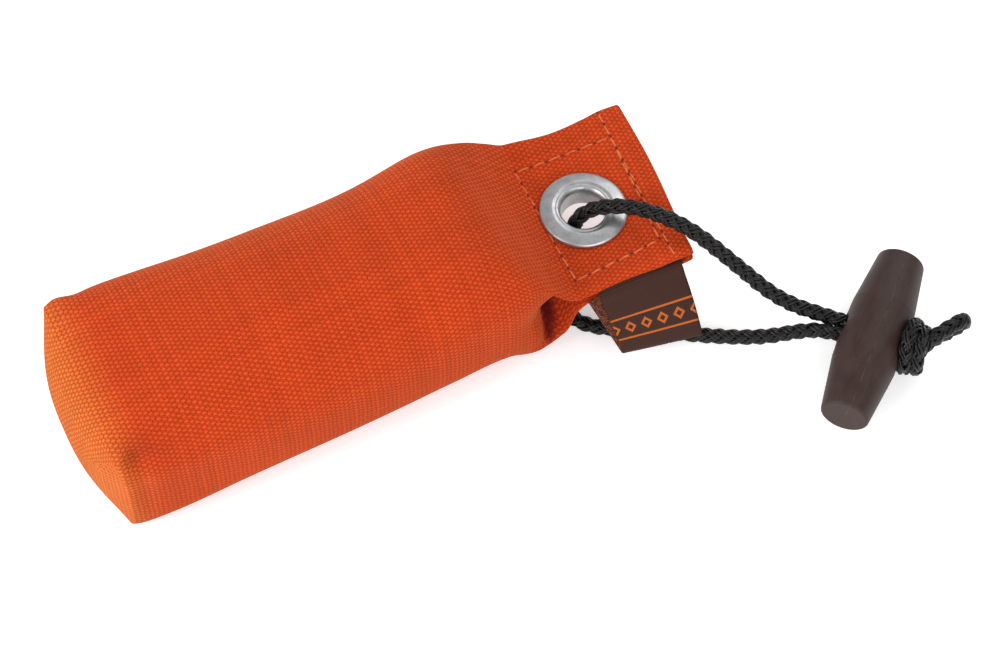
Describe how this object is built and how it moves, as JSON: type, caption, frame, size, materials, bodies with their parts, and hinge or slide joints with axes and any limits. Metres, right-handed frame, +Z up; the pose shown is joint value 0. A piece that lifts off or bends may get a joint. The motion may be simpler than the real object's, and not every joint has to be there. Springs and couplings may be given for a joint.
{
  "type": "pocket training bumper",
  "caption": "Small stuffed canvas retrieving bumper with a flat eyelet tab, a folded side label and a braided cord loop closed by a spindle toggle and a knot.",
  "frame": {"origin": "on the floor under the middle of bag and tab, at the centre of the face that the bag rests on", "axes": "+X from the boxed, stuffed end to the tab, +Z up, -Y is the side with the label"},
  "size_m": [0.2013, 0.1007, 0.0395],
  "materials": {
    "canvas": "matt heavy plain weave",
    "granulate": "loose pellets",
    "thread": "satin sewing thread",
    "eyelet": "dull, lightly brushed",
    "label": "fine woven twill",
    "cord": "braided, slightly glossy",
    "melt": "melted cord",
    "toggle": "satin"
  },
  "bodies": {
    "bag": {"canvas_sleeve": "canvas", "granulate_fill": "granulate", "end_seam_allowance": "canvas", "long_seam_allowance": "canvas", "end_seam_thread": "thread", "long_seam_thread": "thread"},
    "tab": {"tab_upper_ply": "canvas", "tab_lower_ply": "canvas", "gusset_fold_near": "canvas", "gusset_fold_far": "canvas", "end_hem_upper": "canvas", "end_hem_lower": "canvas", "box_stitching": "thread", "hem_stitching": "thread", "eyelet_flange": "eyelet", "eyelet_washer": "eyelet", "label_sewn_end": "label"},
    "label": {"woven_label": "label"},
    "loop": {"cord_loop": "cord", "cord_knot": "cord", "cord_tails": "cord", "cord_melt": "melt"},
    "toggle": {"toggle": "toggle"}
  },
  "joints": [
    {"name": "tab_flex", "type": "hinge", "parent": "bag", "child": "tab", "pos_m": [0.0389, 0, 0.019], "axis": [0, -1, 0], "range_deg": [-8, 45], "stiffness_Nm_per_rad": 0.15},
    {"name": "label_flap", "type": "hinge", "parent": "tab", "child": "label", "pos_m": [0.0557, -0.0237, 0.019], "axis": [-1, 0, 0], "range_deg": [0, 110], "stiffness_Nm_per_rad": 0.002},
    {"name": "loop_swing", "type": "hinge", "parent": "tab", "child": "loop", "pos_m": [0.0511, -0.0015, 0.019], "axis": [0, 0, 1], "range_deg": [-4, 22]},
    {"name": "toggle_swivel", "type": "hinge", "parent": "loop", "child": "toggle", "pos_m": [0.1007, -0.0555, 0.0079], "axis": [0.6845, -0.729, 0], "continuous": true}
  ]
}
